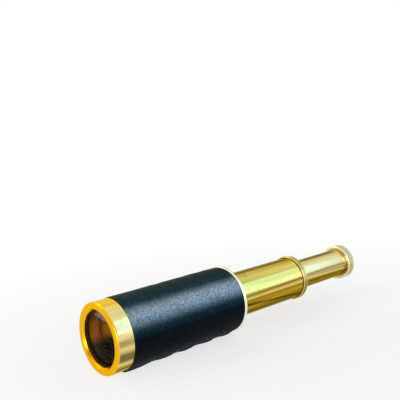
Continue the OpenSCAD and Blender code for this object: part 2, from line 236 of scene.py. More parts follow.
def streaks(dark, bright, span, seed):
    """Long marks on a turned piece, as functions of x and of the normal's height in degrees.

    Each mark is (height at the front end, height at the rear end, half width, strength)
    and adds its strength times a bell. The dark marks given are painted reflections and
    the bright ones painted highlights. A few faint dark ones lie at random all round, as
    tarnish. The third mask tells how far the surface has turned under, where the brass
    gets a painted shade.
    """
    rng = np.random.default_rng(seed)
    at, drift = rng.uniform(-180, 180, FAINT_BANDS), rng.uniform(-6, 6, FAINT_BANDS)
    width, strength = rng.uniform(1, 5, FAINT_BANDS), rng.uniform(0.05, 0.3, FAINT_BANDS)
    faint = list(zip(at, at + drift, width, strength))

    def bells(marks, x, lean):
        along = (x - span[0]) / (span[1] - span[0])
        total = 0.0
        for a, b, w, s in marks:
            away = ((lean - a - (b - a) * along + 180) % 360 - 180) / w
            total = total + s * np.exp(-away ** 2)
        return np.clip(total, 0, 1)

    def masks(x, y, z):
        lean = np.degrees(np.arctan2(z, -y))
        tarnish_and_painted_bands, painted_highlight = bells(dark + faint, x, lean), bells(bright, x, lean)
        return {"streak": tarnish_and_painted_bands, "shine": painted_highlight, "low": painted_underside_shade(y, z)}
    return masks


def turned(name, corners, sides=256, steps=5, swell=None, marks=None):
    """A turned ring: the point (i, j) is (x_i, r_i cos t_j, r_i sin t_j), closed both ways.

    swell is a function of x, the angle and the radius that is added to the radius.
    """
    profile, edge, nook = softened(corners, steps)
    t = np.arange(sides) * 2 * np.pi / sides
    x = np.repeat(profile[:, :1], sides, 1)
    r = np.repeat(profile[:, 1:], sides, 1)
    if swell is not None:
        r = r + swell(x, np.repeat(t[None], len(profile), 0), r)
    points = np.stack([x, r * np.cos(t), r * np.sin(t)], -1).reshape(-1, 3)
    masks = {"edge": np.repeat(edge, sides), "nook": np.repeat(nook, sides)}
    if marks is not None:
        masks.update(marks(*points.T))
    piece = mesh_object(name, points, woven(len(profile), sides), masks=masks)
    print(name, len(points), "points")
    return piece


# %% [markdown]
# ## Small helpers for materials
#
# A material is a tree of nodes. Writing one by hand in Python takes a line for each
# node and one for each link, so these helpers make a node, set its inputs by name or
# number, and link an input wherever the value given is another node's output.


# %% Nodes and links
def feed(tree, sockets, values):
    """Gives sockets their values: another node's output is linked, anything else is written down."""
    for key, value in values.items():
        if isinstance(value, bpy.types.NodeSocket):
            tree.links.new(value, sockets[key])
        else:
            sockets[key].default_value = value


def put(tree, kind, ins=None, out=0, **settings):
    """Adds one shader node and returns one of its outputs."""
    item = tree.nodes.new("ShaderNode" + kind)
    for key, value in settings.items():
        setattr(item, key, value)
    feed(tree, item.inputs, ins or {})
    return item.outputs[out]


def maths(tree, operation, a, b=0.0, clamp=False):
    return put(tree, "Math", {0: a, 1: b}, operation=operation, use_clamp=clamp)


def times(tree, a, b):
    return maths(tree, "MULTIPLY", a, b)


def plus(tree, a, b, clamp=False):
    return maths(tree, "ADD", a, b, clamp)


def blend(tree, amount, a, b):
    """One colour over another."""
    item = tree.nodes.new("ShaderNodeMix")
    item.data_type = "RGBA"
    sockets = {s.identifier: s for s in item.inputs}
    feed(tree, sockets, {"Factor_Float": amount, "A_Color": a, "B_Color": b})
    return next(s for s in item.outputs if s.identifier == "Result_Color")


def spread(tree, value, low, high, to_low=0.0, to_high=1.0, ease="LINEAR"):
    """Maps a value's range onto another, held at both ends."""
    ends = {"Value": value, "From Min": low, "From Max": high, "To Min": to_low, "To Max": to_high}
    return put(tree, "MapRange", ends, interpolation_type=ease)


def colours(tree, value, stops):
    """A row of colours, picked by a value from 0 to 1."""
    item = tree.nodes.new("ShaderNodeValToRGB")
    tree.links.new(value, item.inputs[0])
    row = item.color_ramp.elements
    while len(row) < len(stops):
        row.new(0.5)
    for place, (at, colour) in zip(row, stops):
        place.position, place.color = at, colour
    return item.outputs[0]


# %% Places, patterns and masks
def here(tree):
    """The place of a point in its piece's own space."""
    return put(tree, "TexCoord", out="Object")


def split(tree, vector):
    """The outputs X, Y and Z of a vector."""
    return put(tree, "SeparateXYZ", {0: vector}).node.outputs


def noise(tree, place, scale, detail=2.0, rough=0.5, twist=0.0, out=0):
    ins = {"Vector": place, "Scale": scale, "Detail": detail, "Roughness": rough, "Distortion": twist}
    return put(tree, "TexNoise", ins, out)


def mask(tree, key):
    """The numbers that a mesh carries for its points."""
    return put(tree, "Attribute", attribute_name=key, out="Fac")


def bumped(tree, height, strength, depth):
    """A normal that follows a height, for a depth in metres."""
    return put(tree, "Bump", {"Strength": strength, "Distance": depth, "Height": height})


def seen_rays(tree):
    """1 for rays from the camera, off metal and through glass, and 0 for those that only gather light."""
    path = tree.nodes.new("ShaderNodeLightPath").outputs
    seen = plus(tree, path["Is Camera Ray"], path["Is Glossy Ray"])
    return plus(tree, seen, path["Is Transmission Ray"], clamp=True)


# %% Groups and materials
def effect(name, inputs, outputs):
    """A node group of numbers. Returns its tree, its inputs and a function that links an output."""
    tree = bpy.data.node_groups.new(name, "ShaderNodeTree")
    for label, start in inputs.items():
        socket = tree.interface.new_socket(name=label, in_out="INPUT", socket_type="NodeSocketFloat")
        socket.default_value = start
    for label in outputs:
        tree.interface.new_socket(name=label, in_out="OUTPUT", socket_type="NodeSocketFloat")
    ins = tree.nodes.new("NodeGroupInput").outputs
    outs = tree.nodes.new("NodeGroupOutput").inputs
    return tree, ins, lambda label, socket: tree.links.new(socket, outs[label])


def use(tree, group, ins):
    """Places a node group and returns its outputs."""
    item = tree.nodes.new("ShaderNodeGroup")
    item.node_tree = group
    feed(tree, item.inputs, ins)
    return item.outputs


def new_material(name):
    """A material that holds one shader. Returns it, its tree and the shader."""
    material = bpy.data.materials.new(name)
    material.use_nodes = True
    tree = material.node_tree
    tree.nodes.clear()
    shader = tree.nodes.new("ShaderNodeBsdfPrincipled")
    out = tree.nodes.new("ShaderNodeOutputMaterial")
    tree.links.new(shader.outputs[0], out.inputs["Surface"])
    return material, tree, shader


def show_instead(tree, amount, shader, other):
    """Puts a mix of two shaders in the place of the plain one."""
    both = put(tree, "MixShader", {0: amount, 1: shader.outputs[0], 2: other})
    tree.links.new(both, next(n for n in tree.nodes if n.type == "OUTPUT_MATERIAL").inputs["Surface"])


def wear(piece, material):
    """Gives every material slot of a piece this material."""
    if not piece.data.materials:
        piece.data.materials.append(material)
    for i in range(len(piece.data.materials)):
        piece.data.materials[i] = material


# %% [markdown]
# ## Effects that several materials share
#
# Brass that was drawn through a die or rubbed with a cloth carries fine lines along
# its length. A noise pattern stretched along X gives them. As a group the pattern is
# built once, and each finish sets its own scale.

# %% Drawn lines
lines_group, ins, give = effect("drawn_lines", {"Scale": 900.0, "Length": 0.03}, ["Lines", "Broad"])
t = lines_group
squeeze = put(t, "CombineXYZ", {0: ins["Length"], 1: 1.0, 2: 1.0})
stretched = put(t, "VectorMath", {0: here(t), 1: squeeze}, operation="MULTIPLY")
give("Lines", noise(t, stretched, ins["Scale"], 5.0, 0.65))
give("Broad", noise(t, stretched, times(t, ins["Scale"], 0.22), 3.0))
print(lines_group.name, "ready")

# %% [markdown]
# Tarnish comes in clouds, darker and browner than the metal. Hands leave smears that
# only change the gloss, and a few specks of dirt stay. All three are noise, one of
# them cut down to rare spots by a second, wider noise.

# %% Tarnish, smears and specks
tarnish_group, ins, give = effect("tarnish", {"Scale": 90.0, "Amount": 0.5}, ["Clouds", "Smears", "Specks"])
t = tarnish_group
place = here(t)
clouds = noise(t, place, ins["Scale"], 4.0, 0.55, 0.4)
low = maths(t, "SUBTRACT", 0.72, times(t, ins["Amount"], 0.3))
give("Clouds", spread(t, clouds, low, 0.82))
smear = noise(t, place, times(t, ins["Scale"], 0.5), 6.0, 0.7, 1.6)
give("Smears", spread(t, smear, 0.42, 0.68))
dots = put(t, "TexVoronoi", {"Vector": place, "Scale": times(t, ins["Scale"], 9.0)}, out="Distance")
rare = noise(t, place, times(t, ins["Scale"], 2.3), 1.0)
give("Specks", times(t, maths(t, "LESS_THAN", dots, 0.16), spread(t, rare, 0.6, 0.66)))
print(tarnish_group.name, "ready")

# %% [markdown]
# ## Brass
#
# The bezel is a polished ring of a strong golden brass with a deeper gold lip. The
# draws are drawn tube of a paler, slightly green brass, their shine broken up by
# lengthwise lines, and the collar and cap are nearly cream. One function makes all
# these finishes, because they differ only in colour and strength. The corners, which
# the profiles have marked, are rubbed a little lighter, and the inner corners hold
# dark polish that no cloth reaches. Where a surface turns under, its colour is painted
# darker and browner, a painted shade, and bands listed for each piece are painted
# reflections and painted highlights. Inside the barrel the brass was never polished
# and has gone brown, and low down it is painted darker still, a painted shade.

# %% The brass finish
DIRT = (0.07, 0.045, 0.012, 1)
SOOT_AND_SHADE = (0.015, 0.010, 0.006, 1)
LINE_DEPTH = 0.00004


def brass(name, colour, tarnish_and_shade_colour, gloss, under=None, lip=None, rim=(0.85, 0.7, 0.35, 1), dirt_and_shade=DIRT,
          lines=0.3, clouds=0.4, line_scale=700.0, bump=0.6, coat=0.05, metallic=1.0,
          painted_shade_below=None, black_to=None, far_end=None):
    """Brass that is streaked along X.

    under is its colour where the surface has turned under, a painted shade, and lip its
    colour on the face at the front. rim is the tint of the metal at a glancing view. sunk
    is a pair of heights in millimetres between which the metal goes over to dirt below,
    a painted shade, black_to the station up to which it is black, and far_end the one
    from which it goes half over to aged.
    """
    material, tree, shader = new_material(name)
    place = split(tree, here(tree))
    drawn = use(tree, lines_group, {"Scale": line_scale, "Length": 0.03})
    age = use(tree, tarnish_group, {"Scale": 110.0, "Amount": clouds})
    edge, nook, marked, shine, low = [mask(tree, key) for key in ("edge", "nook", "streak", "shine", "low")]
    # Painted shade: where the surface has turned under, the colour goes over to a darker, browner one.
    base = colour if under is None else blend(tree, low, colour, under)
    fine = spread(tree, drawn["Lines"], 0.58, 0.72, 0.0, 0.8)
    streak = maths(tree, "MAXIMUM", spread(tree, drawn["Broad"], 0.5, 0.66), fine)
    # The dark bands listed for a piece are painted reflections, here joined with tarnish and drawn lines.
    streak = maths(tree, "MAXIMUM", times(tree, streak, lines), marked)
    base = blend(tree, streak, base, tarnish_and_shade_colour)
    # The bright bands are painted highlights, where the plain colour comes back.
    base = blend(tree, times(tree, shine, spread(tree, drawn["Broad"], 0.3, 0.5, 0.5, 1.0)), base, colour)
    base = blend(tree, times(tree, age["Clouds"], 0.35), base, tarnish_and_shade_colour)
    light = tuple(min(1.0, c * 1.12 + 0.03) for c in colour[:3]) + (1.0,)
    base = blend(tree, times(tree, edge, 0.35), base, light)
    if lip is not None:
        base = blend(tree, mask(tree, "lip"), base, lip)
    dark = times(tree, nook, spread(tree, age["Smears"], 0.0, 1.0, 0.45, 0.95))
    base = blend(tree, maths(tree, "MAXIMUM", dark, times(tree, age["Specks"], 0.55)), base, dirt_and_shade)
    # From a given station the colour goes half darker; on the objective cell this is a painted shade on its
    # rear shoulder.
    if far_end is not None:
        beyond = spread(tree, place["X"], (far_end - 0.1) * MM, far_end * MM, 0.0, 0.45)
        base = blend(tree, beyond, base, tarnish_and_shade_colour)
    # Painted shade: low down the colour goes over to the dark one.
    if painted_shade_below is not None:
        base = blend(tree, spread(tree, place["Z"], painted_shade_below[0] * MM, painted_shade_below[1] * MM), dirt_and_shade, base)
    if black_to is not None:
        base = blend(tree, spread(tree, place["X"], (black_to - 0.3) * MM, black_to * MM), dirt_and_shade, base)
    rough = plus(tree, gloss, times(tree, drawn["Lines"], 0.16 * lines))
    rough = plus(tree, rough, times(tree, age["Smears"], 0.07))
    rough = plus(tree, rough, times(tree, dark, 0.3), clamp=True)
    height = plus(tree, drawn["Lines"], times(tree, drawn["Broad"], 1.5))
    feed(tree, shader.inputs, {
        "Base Color": base, "Metallic": metallic, "Specular Tint": rim, "Roughness": rough,
        "Normal": bumped(tree, height, bump, LINE_DEPTH), "Coat Weight": coat, "Coat Roughness": 0.1})
    return material


# %% Polished and drawn brass
# The under colours are a painted shade on the lower side of each piece.
golden = brass("golden_brass_polished", (0.96, 0.72, 0.29, 1), (0.11, 0.07, 0.008, 1), 0.17,
               under=(0.60, 0.48, 0.11, 1), lip=(0.93, 0.50, 0.008, 1),
               lines=0.15, clouds=0.3, line_scale=620.0)
pale = brass("pale_brass_drawn", (0.92, 0.70, 0.16, 1), (0.07, 0.04, 0.002, 1), 0.14,
             under=(0.44, 0.27, 0.015, 1), lines=0.4, clouds=0.35)
fair = brass("pale_brass_second_draw", (0.86, 0.73, 0.34, 1), (0.11, 0.07, 0.005, 1), 0.15,
             under=(0.34, 0.23, 0.01, 1), lines=0.35, clouds=0.35)
rim_brass = brass("pale_brass_turned", (0.90, 0.86, 0.58, 1), (0.42, 0.33, 0.12, 1), 0.2,
                  under=(0.68, 0.60, 0.30, 1), bump=0.2, rim=(1.0, 0.9, 0.6, 1), far_end=RIM_X)
cream_brass = brass("pale_brass_collar", (0.92, 0.91, 0.78, 1), (0.50, 0.46, 0.26, 1), 0.25,
                    lines=0.2, bump=0.2, rim=(1.0, 0.95, 0.8, 1))
ring_brass = brass("olive_brass_ring", (0.72, 0.60, 0.20, 1), (0.08, 0.05, 0.006, 1), 0.18,
                   under=(0.42, 0.30, 0.05, 1), bump=0.2)
print("outside:", [m.name for m in (golden, pale, fair, rim_brass, cream_brass, ring_brass)])

# %% Raw brass inside
# Low down inside the tubes the brass goes over to the soot colour, a painted shade darker towards the bottom.
RAW = dict(rim=(1.0, 0.9, 0.6, 1), dirt_and_shade=SOOT_AND_SHADE, lines=0.9, clouds=0.7, line_scale=260.0, coat=0.0,
           metallic=0.35, painted_shade_below=(-6.0, -3.0))
inner_brass = brass("raw_brass_inside", (0.70, 0.28, 0.008, 1), (0.15, 0.05, 0.002, 1), 0.4, **RAW)
# The cell goes half darker at its rear end, a painted shade on the shoulder that faces the light.
cell_brown = brass("browned_brass_cell", (0.42, 0.15, 0.004, 1), (0.10, 0.035, 0.002, 1), 0.4,
                   black_to=3.4, far_end=CELL_END - 0.85, **RAW)
print("inside:", inner_brass.name, cell_brown.name)

# %% [markdown]
# ## Blackened brass
#
# Rings that stand near the lenses are blackened so that they reflect no stray light.
# The black is a thin etched skin: matt, a little brown, and rubbed through to the
# metal on the sharpest corners.

# %% The blackened finish
black, tree, shader = new_material("blackened_brass")
age = use(tree, tarnish_group, {"Scale": 260.0, "Amount": 0.8})
skin = blend(tree, age["Clouds"], (0.018, 0.016, 0.014, 1), (0.05, 0.042, 0.032, 1))
bare = times(tree, times(tree, mask(tree, "edge"), age["Smears"]), 0.35)
drawn = use(tree, lines_group, {"Scale": 1500.0, "Length": 1.0})
feed(tree, shader.inputs, {
    "Base Color": blend(tree, bare, skin, (0.45, 0.30, 0.10, 1)), "Metallic": 0.35,
    "Roughness": spread(tree, age["Smears"], 0.0, 1.0, 0.5, 0.34),
    "Normal": bumped(tree, drawn["Lines"], 0.25, 0.00005)})
print(black.name, "ready")

# %% [markdown]
# ## Glass
#
# A coated lens is clear from the front and throws back a faint coloured reflection.
# Real optics are never quite clean, so a very weak smear changes the roughness a
# little. On the front lens an old coating has gone cloudy in a band near the top, and
# a strong coat on the shader, only in that band, gives the pale streak seen there.
# Rays that look for a lamp go straight through, so that light gets into the barrel.

# %% Lens glass
TINT = (1.0, 0.98, 0.94, 1)
# The direction in which the heights of the cloudy band are measured.
NEARLY_UP = (0.0, -0.14, 0.99)


def lens_glass(name, ior=1.5, bloom=None):
    """Glass of one tint.

    bloom is a pair of heights in millimetres, measured nearly straight up, between
    which the coating has gone cloudy and reflects more.
    """
    material, tree, shader = new_material(name)
    age = use(tree, tarnish_group, {"Scale": 160.0, "Amount": 0.5})
    speck = times(tree, age["Specks"], 0.5)
    rough = plus(tree, times(tree, age["Smears"], 0.03), times(tree, speck, 0.5))
    feed(tree, shader.inputs, {
        "Base Color": blend(tree, speck, TINT, (0.7, 0.66, 0.58, 1)), "Roughness": rough,
        "Transmission Weight": 1.0, "IOR": ior, "Specular Tint": (0.35, 0.25, 0.5, 1)})
    if bloom is not None:
        rise = put(tree, "VectorMath", {0: here(tree), 1: NEARLY_UP}, operation="DOT_PRODUCT", out="Value")
        above = spread(tree, rise, (bloom[0] - 0.3) * MM, bloom[0] * MM)
        band = times(tree, above, spread(tree, rise, bloom[1] * MM, (bloom[1] + 0.5) * MM, 1.0, 0.0))
        cloudy = times(tree, band, spread(tree, age["Smears"], 0.0, 1.0, 0.55, 1.0))
        feed(tree, shader.inputs, {"Coat Weight": cloudy, "Coat IOR": 2.4, "Coat Roughness": 0.25})
    clear = put(tree, "BsdfTransparent", {0: TINT})
    show_instead(tree, put(tree, "LightPath", out="Is Shadow Ray"), shader, clear)
    return material


clear_glass = lens_glass("lens_glass")
front_glass = lens_glass("lens_glass_front", ior=1.06, bloom=(8.3, 10.0))
cemented = lens_glass("lens_glass_cemented", ior=1.02)
print(clear_glass.name, front_glass.name, cemented.name)

# %% [markdown]
# ## Felt
#
# The bushes that the draws slide in are wool felt. Felt has no threads, only a mat of
# short fibres, so its bump is a rough noise and its edge catches light as a soft fuzz,
# which the shader's sheen gives.

# %% Felt material
felt, tree, shader = new_material("wool_felt")
fibre = noise(tree, here(tree), 2600.0, 6.0, 0.75, 1.2)
clump = spread(tree, noise(tree, here(tree), 420.0, 3.0), 0.3, 0.7)
feed(tree, shader.inputs, {
    "Base Color": blend(tree, clump, (0.085, 0.02, 0.022, 1), (0.15, 0.045, 0.045, 1)),
    "Roughness": spread(tree, fibre, 0.2, 0.8, 0.85, 1.0), "Normal": bumped(tree, fibre, 0.8, 0.00015),
    "Sheen Weight": 0.6, "Sheen Roughness": 0.5})
print(felt.name, "ready")

# %% [markdown]
# ## The objective bezel
#
# The bezel is the golden ring round the front glass. Its outside is a plain cylinder,
# its front edge is rounded over, and a cone leads into the opening. A lathe profile is
# the natural way, since that is how the ring is made.

# %% Bezel
# Bands on the bezel: the dark ones are painted reflections, the bright ones painted highlights.
bezel_painted_bands = streaks(
    [(4, 3, 5.5, 0.55), (-16, -17, 4.5, 1.0), (-24, -24, 5, 0.95), (-46, -46, 7.5, 1.0), (57, 60, 3, 0.12)],
    [(-6, -7, 3.0, 1.0), (-32, -33, 3.2, 0.8)], (FRONT, BEZEL_END), 4)


def bezel_marks(x, y, z):
    """The ring's streaks, and its deep gold: on the front face and on all that lies inside the rim."""
    lip = np.maximum(np.clip((0.1 - x) / 0.5, 0, 1), np.hypot(y, z) < BEZEL_R - 0.3)
    return dict(bezel_painted_bands(x, y, z), lip=lip)


bezel = turned("bezel", [
    (FRONT, OPENING_R + LIP_CONE, 0.12), (FRONT, BEZEL_R, 0.8), (BEZEL_END, BEZEL_R, 0.14),
    (BEZEL_END, LEATHER_IN, 0.05), (CLAMP, LEATHER_IN, 0.05), (CLAMP, OPENING_R, 0.05),
    (FRONT + LIP_CONE, OPENING_R, 0.1)], sides=360, steps=7, marks=bezel_marks)
wear(bezel, golden)
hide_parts("objective_bezel")
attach(bezel, "barrel")

# %% [markdown]
# A plain black ring behind the bezel clamps the lens. Only its inner edge shows, as a
# thin dark circle round the glass, and a turned ring with four corners is enough.

# %% Clamp ring
clamp = turned("clamp_ring", [
    (CLAMP, OPENING_R, 0.08), (CLAMP, CLAMP_R, 0.05), (CELL, CLAMP_R, 0.05), (CELL, OPENING_R, 0.1)])
wear(clamp, black)
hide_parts("objective_clamp_ring")
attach(clamp, "barrel")

# %% [markdown]
# ## The leather cover
#
# The cover is one sheet of thin navy leather, wrapped round the barrel and sewn along
# the underside. Its surface is a function of the place along the barrel and the angle
# round it: a cylinder, plus the pebbled grain, plus the folds that the seam pulls into
# it. The grain could be only a bump in the material, but real creases show at the
# outline, so the larger ones are in the mesh and only the finest are left to the bump.

# %% The leather's grid
ROWS, COLUMNS = 244, 380
# The seam's angle from straight down, towards -Y, and the stations of its stitches.
SEAM = math.radians(18.0)
STITCH_X = 21.02 + 11.467 * np.arange(4)
station = np.linspace(LEATHER_X0 + 0.25, LEATHER_X1 - 0.2, ROWS)
angle = np.arange(COLUMNS) * 2 * np.pi / COLUMNS
X, A = np.meshgrid(station, angle, indexing="ij")
step_x, step_t = station[1] - station[0], LEATHER_R * 2 * np.pi / COLUMNS
print("leather grid steps", round(step_x, 3), round(step_t, 3), "mm")

# %% [markdown]
# Random numbers filtered to one width of wave give soft hills. Where such a field
# crosses zero lies a net of curved lines, and sinking those lines gives the closed
# pebbles of real leather.

# %% Pebbles and creases
PEBBLE, SMALL_PEBBLE, UNEVEN = 0.085, 0.04, 0.03


def waves(width, seed, band=0.35):
    """Random waves of about one width: white noise whose spectrum is kept only in a ring round 1 / width."""
    white = np.random.default_rng(seed).standard_normal((ROWS, COLUMNS))
    fx = np.fft.fftfreq(ROWS, step_x)[:, None]
    ft = np.fft.fftfreq(COLUMNS, step_t)[None, :]
    ring = np.exp(-((np.hypot(fx, ft) * width - 1) / band) ** 2)
    field = np.fft.ifft2(np.fft.fft2(white) * ring).real
    return field / field.std()


hills = 1 - np.exp(-(waves(1.4, 7) / 0.5) ** 2)
small = 1 - np.exp(-(waves(0.95, 11) / 0.45) ** 2)
grain = PEBBLE * hills + SMALL_PEBBLE * small + UNEVEN * waves(9.0, 23, 0.6)
print("grain height %.3f to %.3f mm" % (grain.min(), grain.max()))

# %% [markdown]
# ### The sewn seam
#
# Each stitch draws the two edges of the leather down to the tube, and between the
# stitches the leather stands up in a small bag. The bags are what makes the lower
# outline of the barrel scalloped. Their height is a rounded hump along the barrel
# times a rounded hump across the seam, and each stitch adds a short, deep dent and
# folds that run out from it.

# %% Seam folds
# The bag before the first stitch reaches this far. Then come the heights of a bag, of
# the dent at a stitch, of the folds beside it and of the seam's cut.
FIRST_BAG = 20.0
BAG_H, DENT_H, RAY_H, CUT_H = 0.78, 0.24, 0.06, 0.3


def seam_folds(x, across):
    """Height of the leather near the seam, in millimetres.

    across is the distance from the seam along the surface. Between two stitches the
    height is the bag's height times a sine hump to the power 0.75, times a bell across
    the seam that is wider where the hump is higher. The seam's cut is a narrow groove.
    """
    bounds = np.concatenate([[STITCH_X[0] - FIRST_BAG], STITCH_X, [LEATHER_X1 + 0.4]])
    k = np.clip(np.searchsorted(bounds, x) - 1, 0, len(bounds) - 2)
    u = (x - bounds[k]) / (bounds[k + 1] - bounds[k])
    hump = np.sin(np.pi * np.clip(u, 0, 1)) ** 0.75
    bag = BAG_H * hump * np.exp(-np.abs(across / (1.25 + 0.5 * hump)) ** 2.4)
    near = np.exp(-((x[..., None] - STITCH_X) / 0.75) ** 2).sum(-1)
    fold = np.exp(-((x[..., None] - STITCH_X) / 2.6) ** 2).sum(-1)
    dent = DENT_H * near * np.exp(-(across / 2.6) ** 2)
    rays = RAY_H * fold * np.cos(np.abs(across) * 1.9) * np.exp(-(across / 5.0) ** 2)
    cut = CUT_H * np.exp(-(across / 0.16) ** 2) * (1 - 0.6 * near)
    return bag - dent + rays - cut


seam_angle = np.arctan2(-math.cos(SEAM), -math.sin(SEAM))
folds = seam_folds(X, np.angle(np.exp(1j * (A - seam_angle))) * LEATHER_R)
ends = np.clip(np.minimum(X - LEATHER_X0, LEATHER_X1 - X) / 1.6, 0, 1)
height = grain * (0.35 + 0.65 * ends) - 0.1 + folds
print("seam folds %.2f to %.2f mm" % (folds.min(), folds.max()))

# %% [markdown]
# ### Closing the sheet
#
# The sheet has a thickness, and its cut ends show beside the brass rings. The outer
# grid is therefore carried round both ends on a small quarter circle and back along
# the inside, so that the cover is one closed shell.


# %% Leather cover
def end_rows(x_edge, direction, count=4, round_r=0.3):
    """Rows of a quarter circle from the outside to the cut end.

    x goes out by a sine, and the radius drops by one minus a cosine.
    """
    a = np.linspace(0.2, 1, count) * np.pi / 2
    return x_edge - direction * round_r * (1 - np.sin(a)), -round_r * (1 - np.cos(a))


def leather_shell():
    """All rows of the closed section, from the front inside edge round the outside and back."""
    outer = LEATHER_R + height
    xf, df = end_rows(LEATHER_X0, -1)
    xr, dr = end_rows(LEATHER_X1, 1)
    back = np.linspace(LEATHER_X1, LEATHER_X0, 6)[1:-1]
    rows_x = np.concatenate([[LEATHER_X0], xf[::-1], station, xr, [LEATHER_X1], back])
    front = outer[0][None] + df[::-1, None]
    rear = outer[-1][None] + dr[:, None]
    inside = np.full((1, COLUMNS), LEATHER_IN)
    rows_r = np.vstack([inside, front, outer, rear, inside, np.repeat(inside, len(back), 0)])
    return rows_x[::-1], rows_r[::-1]


rows_x, rows_r = leather_shell()
rows = [np.repeat(rows_x[:, None], COLUMNS, 1), rows_r * np.cos(angle), rows_r * np.sin(angle)]
points = np.stack(rows, -1).reshape(-1, 3)
cut_edge = np.clip(np.minimum(rows_x - LEATHER_X0, LEATHER_X1 - rows_x) / 0.35, 0, 1) < 0.9
cover = mesh_object("leather_cover_skin", points, woven(len(rows_x), COLUMNS),
                    masks={"edge": np.repeat(cut_edge.astype(float), COLUMNS)})
print("leather", len(points), "points, highest", round(float(rows_r.max()), 2), "mm")

# %% [markdown]
# ### Leather grain
#
# Between the modelled pebbles lie still smaller ones. A Voronoi pattern gives cells
# of even size, and a noise moves them about, so that they don't look like a net.
# Where another noise passes through its middle value lies a thin winding line, and
# those lines are the fine creases.

# %% Leather grain effect
grain_group, ins, give = effect(
    "leather_grain", {"Scale": 900.0, "Soft": 0.5}, ["Height", "Cells", "Creases", "Patches"])
t = grain_group
place = here(t)
warp = noise(t, place, times(t, ins["Scale"], 0.8), out="Color")
warp = put(t, "VectorMath", {0: warp, "Scale": 0.0009}, operation="SCALE")
moved = put(t, "VectorMath", {0: place, 1: warp}, operation="ADD")
cells = put(t, "TexVoronoi", {"Vector": moved, "Scale": ins["Scale"], "Smoothness": ins["Soft"]},
            feature="SMOOTH_F1", out="Distance")
pores = noise(t, place, times(t, ins["Scale"], 4.0), 4.0, 0.7)
worms = noise(t, moved, times(t, ins["Scale"], 0.62), 2.0, 0.55, 1.8)
creases = spread(t, maths(t, "ABSOLUTE", maths(t, "SUBTRACT", worms, 0.5)), 0.0, 0.04, 1.0, 0.0)
hollow = plus(t, cells, times(t, creases, 0.5))
give("Height", maths(t, "SUBTRACT", times(t, pores, 0.3), hollow))
give("Cells", cells)
give("Creases", creases)
give("Patches", noise(t, place, times(t, ins["Scale"], 0.09), 4.0, 0.6))
print(grain_group.name, "ready")

# %% [markdown]
# ### Leather material
#
# The dye is a near-black navy. Along the side the navy is painted bluer and lighter, a
# painted highlight where the light falls, and the side is glossy, while the top and the
# underside, where the seam is, stay dull. The wax that shines there is a coat over the
# leather, weaker in the creases, and it ends softly above and below.

# %% Navy leather
leather, tree, shader = new_material("navy_leather")
skin = use(tree, grain_group, {"Scale": 1350.0, "Soft": 0.4})
age = use(tree, tarnish_group, {"Scale": 200.0, "Amount": 0.4})
rise = split(tree, here(tree))["Z"]
patch = spread(tree, skin["Patches"], 0.35, 0.65)
dull = blend(tree, patch, (0.003, 0.005, 0.008, 1), (0.005, 0.008, 0.013, 1))
# Painted highlight: along the side, where the light falls, the navy is bluer and lighter.
painted_highlight = blend(tree, patch, (0.008, 0.080, 0.115, 1), (0.012, 0.11, 0.16, 1))
side = times(tree, spread(tree, rise, 0.0, 0.007), spread(tree, rise, 0.0112, 0.0135, 1.0, 0.35))
base = blend(tree, side, dull, painted_highlight)
base = blend(tree, spread(tree, skin["Cells"], 0.25, 0.6, 0.0, 0.6), base, (0.002, 0.003, 0.005, 1))
base = blend(tree, times(tree, mask(tree, "edge"), 0.5), base, (0.03, 0.022, 0.018, 1))
base = blend(tree, times(tree, age["Specks"], 0.5), base, (0.16, 0.17, 0.18, 1))
above = spread(tree, rise, 0.0028, 0.0094, ease="SMOOTHSTEP")
under = spread(tree, rise, 0.0099, 0.0128, 1.0, 0.04, ease="SMOOTHSTEP")
pits = spread(tree, skin["Cells"], 0.2, 0.6, 1.0, 0.75)
pits = times(tree, pits, spread(tree, skin["Creases"], 0.0, 1.0, 1.0, 0.45))
pits = times(tree, pits, spread(tree, skin["Patches"], 0.25, 0.6, 0.7, 1.0))
pebbled = bumped(tree, skin["Height"], 0.8, 0.00014)
feed(tree, shader.inputs, {
    "Base Color": base, "Roughness": spread(tree, skin["Patches"], 0.3, 0.7, 0.36, 0.5), "Normal": pebbled,
    "IOR": 1.2, "Specular IOR Level": 0.15, "Specular Tint": (0.4, 0.8, 1.0, 1),
    "Coat Weight": times(tree, times(tree, above, under), pits), "Coat Roughness": 0.27, "Coat IOR": 4.0,
    "Coat Normal": pebbled})
wear(cover, leather)
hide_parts("leather_cover")
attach(cover, "barrel")
print(leather.name, "on", cover.name)

# %% [markdown]
# ## Stitches
#
# The thread is waxed and laid of two strands. Each stitch comes out of one hole, lies
# across the seam and goes into the other. A strand is a tube carried along a path, and
# the two wind round each other.


# %% Tubes along paths
def tube_along(path, radius, sides=10):
    """Points and faces of a closed tube.

    Each ring is the path's point plus the radius times cosine and sine of two
    directions at right angles to the path. A point in the middle closes each end.
    """
    ahead = np.gradient(path, axis=0)
    ahead /= np.linalg.norm(ahead, axis=1)[:, None]
    first = np.cross(ahead, np.array([1.0, 0, 0]))
    first /= np.linalg.norm(first, axis=1)[:, None]
    second = np.cross(ahead, first)
    a = np.arange(sides)[None, :, None] * 2 * np.pi / sides
    ring = path[:, None] + radius * (np.cos(a) * first[:, None] + np.sin(a) * second[:, None])
    n = len(path)
    j = np.arange(sides)
    after, last = (j + 1) % sides, (n - 1) * sides
    head = np.stack([j, after, np.full(sides, n * sides)], -1)
    tail = np.stack([np.full(sides, n * sides + 1), last + after, last + j], -1)
    points = np.vstack([ring.reshape(-1, 3), path[:1], path[-1:]])
    return points, woven(n, sides, False)[:, ::-1], np.vstack([head, tail])


def seam_point(x, across, lift):
    """A place on the leather at a distance across the seam and a lift above the plain cylinder."""
    a = seam_angle + across / LEATHER_R
    r = LEATHER_R + lift
    return np.stack([np.broadcast_to(x, a.shape), r * np.cos(a), r * np.sin(a)], -1)


